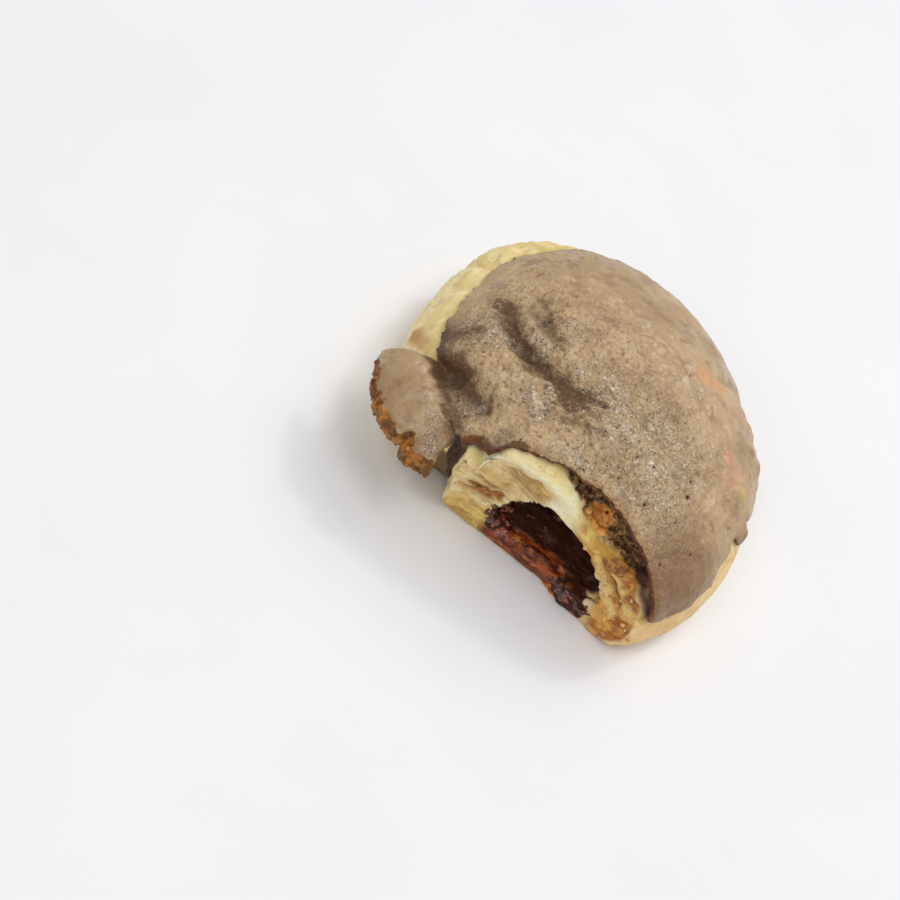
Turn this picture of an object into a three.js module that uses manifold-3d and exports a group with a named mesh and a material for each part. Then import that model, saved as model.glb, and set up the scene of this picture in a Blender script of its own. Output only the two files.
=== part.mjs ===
// A filled coffee bun with its front torn open: a soft bread body, a thin baked coffee crust
// poured over the top, and a dark chocolate filling that shows through the tear.
//
// Millimetres, +Z up. The origin is the middle of the flat base, at the level it stands on.
// +X is the right-hand side seen from the torn front, and the torn front looks along -Y.

import * as THREE from 'three';
import { mergeVertices } from 'three/addons/utils/BufferGeometryUtils.js';
import Module from 'manifold-3d';

const wasm = await Module();
wasm.setup();

const DEGREE = Math.PI / 180;

// The baked form of the bun, before anything is torn from it.
const WAIST_HEIGHT = 9.0;          // level of the widest ring
const WAIST_RADIUS = 47.2;         // mean radius of that ring
const DOME_RISE = 31.2;            // from the waist to the top of the bread
const UNDER_DEPTH = 17.0;          // from the waist to the bottom, had it not sat flat on a tray
const FULLNESS = 2.3;              // 2 is an ellipse, more is squarer in the shoulder
const OVAL_DIAGONAL = 0.068;       // longer from back left to front right
const OVAL_CROSS = 0.019;          // a little narrower from side to side than from front to back
const THREE_LOBES = 0.008;

// The crust: a poured coffee batter that baked into a thin shell.
const CRUST_GAP = 0.35;            // clearance to the bread
const CRUST_THICKNESS = 1.9;
const BAKED_EDGE_THICKNESS = 1.1;  // it thins where it ran out

// The flap of crust pulled outwards at the front left.
const FLAP_START = 203.0;          // degrees round the bun
const FLAP_END = 244.0;
const FLAP_ROOT_INSET = { start: 3, end: 6 };   // degrees by which its crease is shorter than its edge
const FLAP_REACH = 52.0;           // radius of its broken edge
const FLAP_EDGE_HEIGHT = 20.5;     // upper side of that edge
const FLAP_CREASE_HEIGHT = 28.4;   // where the flap leaves the dome
const FLAP_ROOT_SINK = 0.6;        // its root starts this far below the dome's skin, and merges with it
const FLAP_THICKNESS = 2.2;
const FLAP_EDGE_THICKNESS = 3.4;

// The torn front, and the mouth that it opens into the filling.
const TEAR_LINE = -31.0;
const BASE_TEAR_LINE = -27.5;
const RECESS_DEPTH = 4.6;
const MOUTH = { x: 11.5, y: -27.0, z: 13.6, halfWidth: 16.4, halfDepth: 12.5, halfHeight: 7.4, slope: -0.12 };
const FILLING = { x: 6.0, y: -2.0, z: 14.8, halfWidth: 27.0, halfDepth: 23.0, halfHeight: 7.4, slope: 0 };
const FILLING_GAP = 0.35;
const FILLING_FACE = -18.5;        // the filling's front, deep in the mouth

function hill(value, centre, width) {
  return Math.exp(-(((value - centre) / width) ** 2));
}

function ramp(value, start, end) {
  const t = THREE.MathUtils.clamp((value - start) / (end - start), 0, 1);
  return t * t * (3 - 2 * t);
}

function degreesRound(angle) {
  return ((angle / DEGREE) % 360 + 360) % 360;
}

function angleHill(angle, centreDegrees, widthDegrees) {
  const apart = Math.abs(degreesRound(angle) - centreDegrees);
  return hill(Math.min(apart, 360 - apart), 0, widthDegrees);
}

// Soft irregularity that repeats nowhere on the bun and needs no random draw.
function wobble(a, b = 0) {
  return (Math.sin(a * 1.0 + 1.3 * b) + Math.sin(a * 2.3 + 0.7 * b + 1.9) + Math.sin(a * 4.1 - b + 0.6)) / 3;
}

function waistRadius(angle) {
  const oval = 1
    - 0.009 * Math.sin(angle)
    - OVAL_CROSS * Math.cos(2 * angle)
    - OVAL_DIAGONAL * Math.sin(2 * angle)
    + THREE_LOBES * Math.sin(3 * angle);
  const swellings = 1.4 * angleHill(angle, 128, 14)   // spread towards the next bun
    + 1.3 * angleHill(angle, 358, 13)
    + 0.8 * angleHill(angle, 338, 12)
    - 1.5 * angleHill(angle, 176, 24);
  return WAIST_RADIUS * oval + swellings;
}

// Folds of the top: each runs from one point to another, and lifts or sinks the skin.
const FOLDS = [
  { x0: -30, y0: -4, x1: -20, y1: -10, lift: -1.3, width: 3.6 },
  { x0: -20, y0: -10, x1: -11, y1: -13, lift: -1.3, width: 3.4 },
  { x0: -11, y0: -13, x1: -1, y1: -10.5, lift: -1.0, width: 3.8 },
  { x0: -22, y0: -3, x1: -15, y1: -6.5, lift: 0.9, width: 3.4 },
  { x0: -15, y0: -19, x1: -8, y1: -21, lift: 1.0, width: 4.8 },
  { x0: -24, y0: -24, x1: -18, y1: -29, lift: -0.9, width: 3.4 },
  { x0: -29, y0: -16, x1: -23, y1: -19, lift: 0.8, width: 4.2 },
];

function foldLift(x, y) {
  let lift = 0;
  for (const fold of FOLDS) {
    const runX = fold.x1 - fold.x0;
    const runY = fold.y1 - fold.y0;
    const along = ((x - fold.x0) * runX + (y - fold.y0) * runY) / (runX * runX + runY * runY);
    const t = THREE.MathUtils.clamp(along, 0, 1);
    const away = Math.hypot(x - fold.x0 - t * runX, y - fold.y0 - t * runY);
    lift += fold.lift * hill(away, 0, fold.width);
  }
  return lift;
}

// Four lumps stand out of the bare rim at the back left, where the dough met its neighbour.
function rimLumps(angle, height) {
  let lift = 0;
  for (const centre of [150, 164, 178, 191]) {
    lift += 1.0 * angleHill(angle, centre, 5);
  }
  return lift * ramp(height, 2, 8) * (1 - ramp(height, 24, 31));
}

// A point of the skin: angle round the bun, polar angle down from the top, and how far outside
// the bread's own skin it lies.
function skinPoint(angle, polar, outside) {
  const across = Math.sin(polar);
  const rise = Math.cos(polar);
  const height = rise > 0 ? DOME_RISE : UNDER_DEPTH;
  const power = (across / waistRadius(angle)) ** FULLNESS + (Math.abs(rise) / height) ** FULLNESS;
  let reach = power ** (-1 / FULLNESS);
  const x = reach * across * Math.cos(angle);
  const y = reach * across * Math.sin(angle);
  const z = WAIST_HEIGHT + reach * rise;
  if (rise > 0) {
    reach += foldLift(x, y);
  }
  reach += rimLumps(angle, z) + outside;
  // the front left corner is drawn in under the flap, most of all near the base
  const drawn = 1 - 0.22 * angleHill(angle, 237, 16) * (1 - ramp(z, 5, 22));
  return new THREE.Vector3(
    reach * across * Math.cos(angle) * drawn,
    reach * across * Math.sin(angle) * drawn,
    Math.max(0, WAIST_HEIGHT + reach * rise),
  );
}

// The line in plan along which the top was torn away, as y for each x.
function tearLine(x) {
  const pulledBack = 2.6 * hill(x, 12, 11);
  const left = 0.36 * Math.max(0, -12 - x);
  const right = 0.24 * Math.max(0, x - 27);
  return TEAR_LINE + pulledBack - left - right;
}

// Height of the upper side of the bread's lip, below which the torn crumb shows.
function lipHeight(x) {
  const droop = 9 * ramp(x, 2, 18);
  const rightEnd = 0.8 * Math.max(0, x - 24);
  return 34.5 - droop - rightEnd;
}

// The torn front face of the bread, as y for each x and z.
function tornFace(x, z) {
  const bottom = BASE_TEAR_LINE - 3.0 * ramp(x, 12, 21);
  const top = Math.min(tearLine(x) + 0.4, TEAR_LINE + 1.2);
  let y = THREE.MathUtils.lerp(bottom, top, THREE.MathUtils.clamp(z / 30, 0, 1));
  y -= 0.36 * Math.max(0, -14 - x) * (1 - z / 60);
  y -= 0.2 * Math.max(0, x - 27);
  const lip = lipHeight(x);
  const ridge = x < 0 ? 3.2 : 2.0;
  y -= 1.3 * hill(z, lip - ridge, ridge);                       // the rounded lip
  y -= 1.8 * hill(z, 11, 7) * hill(x, -15, 6);                  // swell of the left-hand crumb
  y += 1.6 * hill(z, 19, 6) * hill(x, -6, 5);                   // and the hollow beside it
  y += 0.5 * wobble(0.35 * x + 0.8 * z, 0.5 * z);               // pulled crumb
  const recess = ramp(x, -4, 2) * (1 - ramp(x, 34, 39));
  y += RECESS_DEPTH * recess * ramp(z, lip, lip + 1.8);         // crust lifted off the lip
  y += 4.0 * hill(x, -13.8, 1.7) * ramp(z, 25, 29);             // notch between the lip's two lobes
  return y;
}

// Height of the crust's baked edge at key angles round the bun, between which it runs smoothly.
const BAKED_EDGE = [
  [0, 26.5], [14, 20], [30, 16], [60, 13.5], [92, 14], [110, 18], [124, 25], [140, 31],
  [152, 32], [168, 30.8], [184, 30], [196, 28.2], [204, 27.5], [226, 29.9], [243, 27.4], [318, 17.5],
  [330, 19.2], [337, 21.5], [344, 25.2], [352, 27.3], [360, 26.5],
];

function bakedEdgeHeight(angle) {
  const degrees = degreesRound(angle);
  const after = BAKED_EDGE.findIndex(([at]) => at >= degrees);
  const [endAt, end] = BAKED_EDGE[Math.max(1, after)];
  const [startAt, start] = BAKED_EDGE[Math.max(1, after) - 1];
  const underFlap = ramp(degrees, 198, 203) * (1 - ramp(degrees, 243, 248));
  const ragged = 0.45 * (1 - underFlap) * wobble(degrees * 0.35);
  return THREE.MathUtils.lerp(start, end, ramp(degrees, startAt, endAt)) + ragged;
}

// Polar angle of the crease, where the flap bends away from the dome.
function creasePolar(angle) {
  const height = FLAP_CREASE_HEIGHT + 2.5 * angleHill(angle, 226, 10);
  let above = 20 * DEGREE;
  let below = 90 * DEGREE;
  for (let step = 0; step < 24; step += 1) {
    const polar = (above + below) / 2;
    if (skinPoint(angle, polar, CRUST_GAP + CRUST_THICKNESS).z < height) {
      below = polar;
    } else {
      above = polar;
    }
  }
  return above;
}

// Radius of the flap's broken edge.
function flapReach(degrees) {
  const corner = 3.6 * hill(degrees, FLAP_START, 3) + 4.5 * hill(degrees, FLAP_END, 4);
  const bite = 2.4 * hill(degrees, 231.5, 2.2);
  return FLAP_REACH - corner - bite + 1.1 * hill(degrees, 216, 6) - 1.6 * ramp(degrees, 224, 238);
}

// A point of the flap. along runs from 0 at one side to 1 at the other, t from 0 at the crease
// to 1 at the broken edge, and side is 1 for the outer face and 0 for the inner one. Below 0,
// t reaches into the dome.
function flapPoint(along, t, side) {
  const open = Math.max(0, t);
  const start = FLAP_START + FLAP_ROOT_INSET.start * (1 - open);
  const end = FLAP_END - FLAP_ROOT_INSET.end * (1 - open);
  const degrees = THREE.MathUtils.lerp(start, end, along);
  const angle = degrees * DEGREE;
  const crease = skinPoint(angle, creasePolar(angle), CRUST_GAP + CRUST_THICKNESS - FLAP_ROOT_SINK);
  const creaseRadius = Math.hypot(crease.x, crease.y);
  const reach = flapReach(degrees);
  const crownRadius = THREE.MathUtils.lerp(creaseRadius, reach, 0.55);
  const crownHeight = crease.z + 0.4;
  const edgeHeight = FLAP_EDGE_HEIGHT + 0.6 * wobble(degrees * 0.4);
  const thickness = THREE.MathUtils.lerp(FLAP_THICKNESS, FLAP_EDGE_THICKNESS, open * open) * (1 - side);
  const atCrease = (1 - open) ** 2;
  const atCrown = 2 * open * (1 - open);
  const atEdge = open ** 2;
  const root = 14 * Math.min(0, t);
  const radius = atCrease * creaseRadius + atCrown * crownRadius + atEdge * reach + root - 0.3 * thickness;
  const height = atCrease * crease.z + atCrown * crownHeight + atEdge * edgeHeight - 0.95 * thickness;
  return new THREE.Vector3(radius * Math.cos(angle), radius * Math.sin(angle), height);
}

// Turns a three.js geometry into a solid for joining and cutting.
function solidOf(geometry) {
  geometry.deleteAttribute('normal');
  geometry.deleteAttribute('uv');
  const merged = mergeVertices(geometry, 1e-5);
  return new wasm.Manifold(new wasm.Mesh({
    numProp: 3,
    vertProperties: new Float32Array(merged.attributes.position.array),
    triVerts: new Uint32Array(merged.index.array),
  }));
}

function geometryOf(solid) {
  const mesh = solid.getMesh();
  const geometry = new THREE.BufferGeometry();
  geometry.setAttribute('position', new THREE.BufferAttribute(mesh.vertProperties, 3));
  geometry.setIndex(new THREE.BufferAttribute(mesh.triVerts, 1));
  geometry.computeVertexNormals();
  return geometry;
}

function moveVertices(geometry, place) {
  const position = geometry.attributes.position;
  const point = new THREE.Vector3();
  for (let i = 0; i < position.count; i += 1) {
    point.fromBufferAttribute(position, i);
    const moved = place(point);
    position.setXYZ(i, moved.x, moved.y, moved.z);
  }
  return geometry;
}

// Fineness of the faceted skins.
const COLUMNS = 66;                // round the bun
const ROWS = 28;                   // from the top to the middle of the base

// A ball with its poles on the Z axis.
function ball(segmentsRound, rings) {
  return new THREE.SphereGeometry(1, segmentsRound, rings).rotateX(Math.PI / 2);
}

// Sets the columns of a ball closer together towards the torn front.
function crowdToFront(angle) {
  const front = 265 * DEGREE;
  return angle - 0.45 * Math.sin(angle - front);
}

// A closed skin round the bun's whole form. outside gives its distance from the bread's skin.
function ballOfSkin(outside) {
  return solidOf(moveVertices(ball(COLUMNS, ROWS), (point) => {
    const angle = crowdToFront(Math.atan2(point.y, point.x));
    const polar = Math.acos(THREE.MathUtils.clamp(point.z, -1, 1));
    return skinPoint(angle, polar, outside(angle, polar));
  }));
}

function breadForm(margin) {
  return ballOfSkin(() => margin);
}

// Everything in front of the torn face.
function tornAway() {
  const left = -42;
  const right = 54;
  const low = -6;
  const high = 48;
  const front = -80;
  const box = new THREE.BoxGeometry(right - left, 2, high - low, 44, 1, 30);
  const geometry = moveVertices(box, (point) => {
    const x = point.x + (left + right) / 2;
    const z = point.z + (low + high) / 2;
    return new THREE.Vector3(x, point.y > 0 ? tornFace(x, z) : front, z);
  });
  return solidOf(geometry);
}

// A flattened, slightly uneven ball, grown by a margin. slope tips it down towards +X.
function lens(shape, margin, segmentsRound, rings) {
  const geometry = moveVertices(ball(segmentsRound, rings), (point) => {
    const uneven = 1 + 0.035 * wobble(3 * point.x + shape.x, 4 * point.z + 2 * point.y);
    const across = point.x * (shape.halfWidth * uneven + margin);
    return new THREE.Vector3(
      shape.x + across,
      shape.y + point.y * (shape.halfDepth * uneven + margin),
      shape.z + point.z * (shape.halfHeight * uneven + margin) + shape.slope * across,
    );
  });
  return solidOf(geometry);
}

function makeBread() {
  const hollow = lens(MOUTH, 0, 36, 18).add(lens(FILLING, FILLING_GAP, 28, 12));
  return breadForm(0).subtract(tornAway()).subtract(hollow);
}

function makeFilling() {
  const reach = 60;
  const box = new THREE.BoxGeometry(2 * reach, 2 * reach, 2 * reach, 24, 1, 24);
  const inFront = moveVertices(box, (point) => {
    const face = FILLING_FACE + 1.2 * wobble(0.28 * point.x, 0.5 * point.z);
    return new THREE.Vector3(point.x, point.y > 0 ? face : -reach, point.z);
  });
  return lens(FILLING, 0, 28, 12).subtract(solidOf(inFront));
}

function makeFlap() {
  const rootShare = 0.3;
  const box = new THREE.BoxGeometry(1, 1, 1, 18, 9, 1);
  return solidOf(moveVertices(box, (point) => {
    const t = THREE.MathUtils.lerp(-rootShare, 1, point.y + 0.5);
    return flapPoint(0.5 - point.x, t, point.z > 0 ? 1 : 0);
  }));
}

// Everything in front of the line along which the crust was torn.
function crustTornAway() {
  const box = new THREE.BoxGeometry(100, 2, 80, 66, 1, 1);
  return solidOf(moveVertices(box, (point) => {
    const ragged = 0.5 * wobble(point.x * 0.8) * (1 - ramp(point.x, 20, 27));
    return new THREE.Vector3(point.x, point.y > 0 ? tearLine(point.x) + ragged : -80, point.z + 30);
  }));
}

// Everything below the baked edge: a deep drum whose top follows the edge round the bun.
function belowBakedEdge() {
  const rim = 70;
  const middle = 12;
  const bottom = -30;
  const top = 30;
  const corners = [[0, bottom], [rim, bottom], [rim, top], [middle, top], [0, top]];
  const profile = corners.map(([radius, height]) => new THREE.Vector2(radius, height));
  const drum = new THREE.LatheGeometry(profile, 96).rotateX(Math.PI / 2);
  return solidOf(moveVertices(drum, (point) => {
    const isTop = point.z > 0;
    const onAxis = Math.hypot(point.x, point.y) < 1e-6;
    const height = onAxis ? top : bakedEdgeHeight(Math.atan2(point.y, point.x));
    return new THREE.Vector3(point.x, point.y, isTop ? height : bottom);
  }));
}

// The crust lies on the bread all over, and the flap is one with it.
function makeCrust() {
  const dome = ballOfSkin((angle, polar) => {
    const height = skinPoint(angle, polar, 0).z;
    const thinning = 1 - ramp(height, bakedEdgeHeight(angle), bakedEdgeHeight(angle) + 6);
    const thickness = THREE.MathUtils.lerp(CRUST_THICKNESS, BAKED_EDGE_THICKNESS, thinning);
    return CRUST_GAP + thickness;
  });
  const sheet = dome.subtract(crustTornAway()).subtract(belowBakedEdge());
  return sheet.add(makeFlap()).subtract(breadForm(CRUST_GAP));
}

const breadMaterial = new THREE.MeshStandardMaterial({ color: '#dccb98', roughness: 0.8, metalness: 0 });
const crustMaterial = new THREE.MeshStandardMaterial({ color: '#7a6247', roughness: 0.5, metalness: 0 });
const fillingMaterial = new THREE.MeshStandardMaterial({ color: '#2c140b', roughness: 0.3, metalness: 0 });

function piece(name, solid, material) {
  const mesh = new THREE.Mesh(geometryOf(solid), material);
  mesh.name = name;
  return mesh;
}

const bun = new THREE.Group();
bun.name = 'coffee_bun';
bun.add(piece('bread', makeBread(), breadMaterial));
bun.add(piece('coffee_crust', makeCrust(), crustMaterial));
bun.add(piece('filling', makeFilling(), fillingMaterial));

export default bun;
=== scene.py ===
# A filled coffee bun with its front torn open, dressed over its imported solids: soft bread, a baked
# coffee crust with a flap pulled out at the left, and dark chocolate in the hollow.
# Shapes are worked out in millimetres, +Z up and -Y out of the torn front, and handed over in metres.

import math
from itertools import product

import bmesh
import bpy
import numpy as np
from mathutils import Matrix, Vector
from mathutils.bvhtree import BVHTree


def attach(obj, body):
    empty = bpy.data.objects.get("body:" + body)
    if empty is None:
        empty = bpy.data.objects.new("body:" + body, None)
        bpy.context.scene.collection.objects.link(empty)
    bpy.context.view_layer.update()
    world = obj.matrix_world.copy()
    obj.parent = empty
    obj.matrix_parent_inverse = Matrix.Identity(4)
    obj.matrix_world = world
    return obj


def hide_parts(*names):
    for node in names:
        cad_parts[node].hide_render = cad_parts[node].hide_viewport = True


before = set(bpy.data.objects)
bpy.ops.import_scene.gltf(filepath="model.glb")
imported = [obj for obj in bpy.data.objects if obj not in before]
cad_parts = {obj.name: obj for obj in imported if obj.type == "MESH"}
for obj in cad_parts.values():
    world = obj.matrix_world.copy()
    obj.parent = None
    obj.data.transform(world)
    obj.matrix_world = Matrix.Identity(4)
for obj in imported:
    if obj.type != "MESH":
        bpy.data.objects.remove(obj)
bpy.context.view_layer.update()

# The bread: one piece of soft enriched dough, proved round and baked beside others, so its side is
# pale and lumpy where it met them. It was torn open at the front, where the crumb shows in pulled
# fibres under a rolled lip, and a hollow opens onto the filling.
MM = 0.001  # in metres
WAIST_HEIGHT = 9.0
WAIST_RADIUS = 47.2
DOME_RISE = 31.2
UNDER_DEPTH = 17.0
FULLNESS = 2.3
TEAR_LINE = -31.0
BASE_TEAR_LINE = -28.4
LIP_EDGE = [  # x, height
    (-30, 27.5), (-21, 27.3), (-18.3, 27.0), (-15.7, 26.4), (-13.8, 26.2), (-12.8, 29.6),
    (-11.9, 32.8), (-10, 34.4), (-7.3, 35.6), (-2.7, 35.9), (1.2, 35.3), (4.7, 34.1), (7.4, 32.6),
    (10, 30.4), (12.1, 27.9), (14.3, 26.8), (18, 26.4), (22, 25.6), (26.8, 24.5), (30, 24.8),
    (33.3, 24.8), (36.3, 23.5), (50, 18),
]
MOUTH_MIDDLE = (11.5, 14.0)
MOUTH_START = -45
MOUTH_NARROWS = -29
MOUTH_END = -14.4
MOUTH_EDGE = [  # x, height, turning round the mouth
    (-2.9, 15.1), (-1.5, 17.2), (0.1, 19.4), (2.1, 21.5), (3.9, 23.0), (5.4, 23.5), (7.2, 23.0),
    (10.1, 21.5), (14.3, 20.7), (18.3, 19.1), (22, 16.3), (24.6, 13.6), (27.0, 11), (26.8, 8.4),
    (24.2, 7.0), (18.9, 6.6), (11.5, 6.7), (5, 6.8), (0.5, 6.6), (-2.2, 6.9), (-3.9, 8.4),
    (-4.2, 10.5), (-3.8, 13),
]
FILLING_MIDDLE = (6.0, -2.0, 14.8)
FILLING_HALF = (27.0, 23.0, 7.4)
FILLING_GAP = 0.35
BREAD_GRID = 0.85  # size of the faces
FAR_FRONT = -80  # y, well in front of the bun
# Under the flap, from about 231 to 243 degrees, the edge runs low so that crust painted as shadow covers
# bread that lies only in shade.
BAKED_EDGE = [  # degrees round the bun, height
    (0, 26.5), (14, 20), (30, 16), (60, 13.5), (92, 14), (108, 20), (117, 26.5), (126, 29.2),
    (133, 30.7), (142, 30.5), (152, 29.6), (168, 29.1), (177, 28.9), (181, 27.7), (190, 27.2),
    (198, 26.4), (206, 25.0), (226, 24.8), (231, 23), (236, 14), (243, 12), (255, 15), (318, 17.5),
    (330, 19.2), (337, 21.5), (344, 25.2), (352, 27.3), (360, 26.5),
]
FOLDS = [  # path in plan, lift, width
    ([(-30, -4), (-20, -10)], -0.8, 3.6),
    ([(-20, -10), (-11, -13)], -0.8, 3.4),
    ([(-11, -13), (-1, -10.5)], -0.7, 3.8),
    ([(-22, -3), (-15, -6.5)], 0.9, 3.4),
    ([(-15, -19), (-8, -21)], 1.0, 4.8),
    ([(-24, -24), (-18, -29)], -0.9, 3.4),
    ([(-29, -16), (-23, -19)], 0.8, 4.2),
]


def hill(value, centre, width):
    return np.exp(-(((value - centre) / width) ** 2))


def ramp(value, start, end):
    t = np.clip((value - start) / (end - start), 0.0, 1.0)
    return t * t * (3 - 2 * t)


# Rises between the first two numbers and falls back between the last two.
def band(value, start, full, fading, end):
    return ramp(value, start, full) * (1 - ramp(value, fading, end))


def round_mark(across, up, width):
    return hill(np.hypot(across, up), 0, width)


def angle_hill(angle, centre, width):
    apart = (np.degrees(angle) - centre + 180) % 360 - 180
    return hill(apart, 0, width)


def wobble(a, b=0.0):
    return (np.sin(a + 1.3 * b) + np.sin(2.3 * a + 0.7 * b + 1.9) + np.sin(4.1 * a - b + 0.6)) / 3


# How far points of a plane lie from a path of points in it.
def beside(path, x, y):
    nearest = np.full_like(x, 1e9)
    for (x0, y0), (x1, y1) in zip(path, path[1:]):
        t = np.clip(((x - x0) * (x1 - x0) + (y - y0) * (y1 - y0)) / ((x1 - x0) ** 2 + (y1 - y0) ** 2), 0, 1)
        nearest = np.minimum(nearest, np.hypot(x - x0 - t * (x1 - x0), y - y0 - t * (y1 - y0)))
    return nearest


def stroke(path, x, y, width, unrest=0.0):
    return hill(beside(path, x, y) + unrest, 0, width)


# Strokes of a table, each with its height, added up or the highest at each point.
def ridges(table, x, y):
    return sum(height * stroke(path, x, y, width) for path, height, width in table)


def strongest(table, x, y):
    return np.max([height * stroke(path, x, y, width) for path, height, width in table], axis=0)


# Smooth random ground, between about -1 and 1, with swellings of the size given.
slopes = np.random.default_rng(11).normal(size=(1024, 3))
slopes /= np.linalg.norm(slopes, axis=1)[:, None]


def ground(points, size, seed=0, stretch=(1, 1, 1)):
    cell = points / (size * np.array(stretch)) + 31.7 * seed + 0.37
    low = np.floor(cell).astype(np.int64)
    part = cell - low
    ease = part ** 3 * (part * (part * 6 - 15) + 10)
    total = np.zeros(len(points))
    for corner in product((0, 1), repeat=3):
        at = low + corner
        mixed = at[:, 0] * 73856093 ^ at[:, 1] * 19349663 ^ at[:, 2] * 83492791
        tilt = slopes[mixed & 1023]
        weight = np.prod(np.where(corner, ease, 1 - ease), axis=1)
        total += weight * np.sum(tilt * (part - corner), axis=1)
    return 1.6 * total


def rough_ground(points, size, layers=3, seed=0, stretch=(1, 1, 1)):
    return sum(ground(points, size / 2 ** n, seed + n, stretch) / 1.8 ** n for n in range(layers))


def waist_radius(angle):
    oval = (1 - 0.009 * np.sin(angle) - 0.019 * np.cos(2 * angle) - 0.068 * np.sin(2 * angle)
            + 0.008 * np.sin(3 * angle))
    swellings = (1.4 * angle_hill(angle, 128, 14) + 1.3 * angle_hill(angle, 358, 13)
                 + 0.8 * angle_hill(angle, 338, 12) - 1.5 * angle_hill(angle, 176, 24))
    return WAIST_RADIUS * oval + swellings


def rim_lumps(angle, z):
    lift = sum(angle_hill(angle, centre, 5) for centre in (150, 164, 178, 191))
    return lift * band(z, 2, 8, 24, 31)


# The front left corner is drawn in under the flap, most of all near the base.
def drawn_in(angle, z):
    inward = angle_hill(angle, 236, 16) * (0.26 * (1 - ramp(z, 5, 24)) + 0.06 * band(z, 3, 9, 22, 28))
    inward = inward + 0.07 * angle_hill(angle, 229, 9) * (1 - ramp(z, 8, 14))
    inward = inward + 0.05 * angle_hill(angle, 235, 9) * band(z, 9, 14, 24, 28)
    return 1 - inward - 0.06 * angle_hill(angle, 234, 10) * band(z, 16, 20, 27, 31)


# How far the smooth round of the bun reaches from the middle of its waist.
def round_reach(angle, across, rise):
    height = np.where(rise > 0, DOME_RISE, UNDER_DEPTH)
    power = (across / waist_radius(angle)) ** FULLNESS + (np.abs(rise) / height) ** FULLNESS
    return power ** (-1 / FULLNESS)


def skin_point(angle, polar, outside=0.0):
    across, rise = np.sin(polar), np.cos(polar)
    reach = round_reach(angle, across, rise)
    x, y, z = reach * across * np.cos(angle), reach * across * np.sin(angle), WAIST_HEIGHT + reach * rise
    reach = reach + np.where(rise > 0, ridges(FOLDS, x, y), 0) + rim_lumps(angle, z) + outside
    side = reach * across * drawn_in(angle, z)
    return np.stack([side * np.cos(angle), side * np.sin(angle),
                     np.maximum(0, WAIST_HEIGHT + reach * rise)], axis=-1)


# How far points lie outside the bread's skin, along the line from the middle of its waist.
def outside_skin(points):
    x, y, z = points.T
    angle = np.arctan2(y, x)
    side = np.hypot(x, y) / drawn_in(angle, z)
    reach = np.hypot(side, z - WAIST_HEIGHT)
    polar = np.arctan2(side, z - WAIST_HEIGHT)
    across, rise = np.sin(polar), np.cos(polar)
    folds = np.where(rise > 0, ridges(FOLDS, x, y), 0)
    return reach - round_reach(angle, across, rise) - folds - rim_lumps(angle, z)


def baked_edge_height(angle):
    degrees = np.degrees(angle) % 360
    at, level = np.array(BAKED_EDGE, float).T
    after = np.clip(np.searchsorted(at, degrees), 1, len(at) - 1)
    share = ramp((degrees - at[after - 1]) / (at[after] - at[after - 1]), 0, 1)
    under_flap = band(degrees, 198, 203, 243, 248)
    ragged = 0.3 * (1 - under_flap) * wobble(degrees * 0.35)
    return level[after - 1] + (level[after] - level[after - 1]) * share + ragged


def tear_line(x):
    return (TEAR_LINE + 2.6 * hill(x, 12, 11) - 0.36 * np.maximum(0, -12 - x)
            - 0.24 * np.maximum(0, x - 27))


def lip_height(x):
    return np.interp(x, *np.array(LIP_EDGE, float).T)


# The torn front as it would be had the crust not lifted off the lip, as y for each x and z.
def torn_front(x, z):
    bottom = BASE_TEAR_LINE - 2.6 * ramp(x, 12, 21)
    top = np.minimum(tear_line(x) + 0.4, TEAR_LINE + 1.2)
    y = bottom + (top - bottom) * np.clip(z / 30, 0, 1)
    y = y - 0.36 * np.maximum(0, -14 - x) * (1 - z / 60) - 0.2 * np.maximum(0, x - 27)
    lip = lip_height(x)
    ridge = 2.6 - 0.8 * ramp(x, 4, 14)
    y = y - 1.5 * hill(z, lip - ridge, ridge) - 1.8 * hill(z, 11, 7) * hill(x, -15, 6)
    y = y + 1.6 * hill(z, 19, 6) * hill(x, -6, 5) + 0.5 * wobble(0.35 * x + 0.8 * z, 0.5 * z)
    y = y - 0.9 * hill(x + 0.95 * (z - 10.3), 28.0, 1.8) * ramp(x, 19, 21)
    return y + 0.9 * hill(x + 0.95 * (z - 10.3), 32.5, 1.8) * ramp(x, 19, 21)


def torn_face(x, z):
    lip = lip_height(x)
    depth = 2.4 + 2.6 * hill(x, -13.8, 1.8) - 1.6 * hill(x, -8.5, 3.2) + 3.0 * ramp(x, -5, 4)
    depth = depth * (1 - ramp(x, 34, 39))
    return torn_front(x, z) + depth * ramp(z, lip - 0.3, lip + 0.9)


def solid_from(name, points, faces):
    mesh = bpy.data.meshes.new(name)
    mesh.from_pydata((np.asarray(points) * MM).tolist(), [], faces)
    work = bmesh.new()
    work.from_mesh(mesh)
    bmesh.ops.recalc_face_normals(work, faces=work.faces)
    work.to_mesh(mesh)
    work.free()
    piece = bpy.data.objects.new(name, mesh)
    bpy.context.scene.collection.objects.link(piece)
    return piece


# A closed skin from rings of points, each an array of one point for every column, between two ends.
def turned(name, first, rings, last):
    rings = np.asarray(rings)
    count, columns = rings.shape[:2]
    points = np.concatenate([[first], rings.reshape(-1, 3), [last]])
    end = len(points) - 1
    faces = []
    for c in range(columns):
        d = (c + 1) % columns
        faces.append((0, 1 + c, 1 + d))
        faces.append((end, end - columns + d, end - columns + c))
        for r in range(count - 1):
            a = 1 + r * columns
            faces.append((a + c, a + columns + c, a + columns + d, a + d))
    return solid_from(name, points, faces)


# A closed block of all that lies in front of a face, given as y for each x and z of a grid.
def block_before(name, x, y, z, start=FAR_FRONT):
    return block(name, np.stack([x, np.full_like(x, start), z], axis=-1), np.stack([x, y, z], axis=-1))


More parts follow.
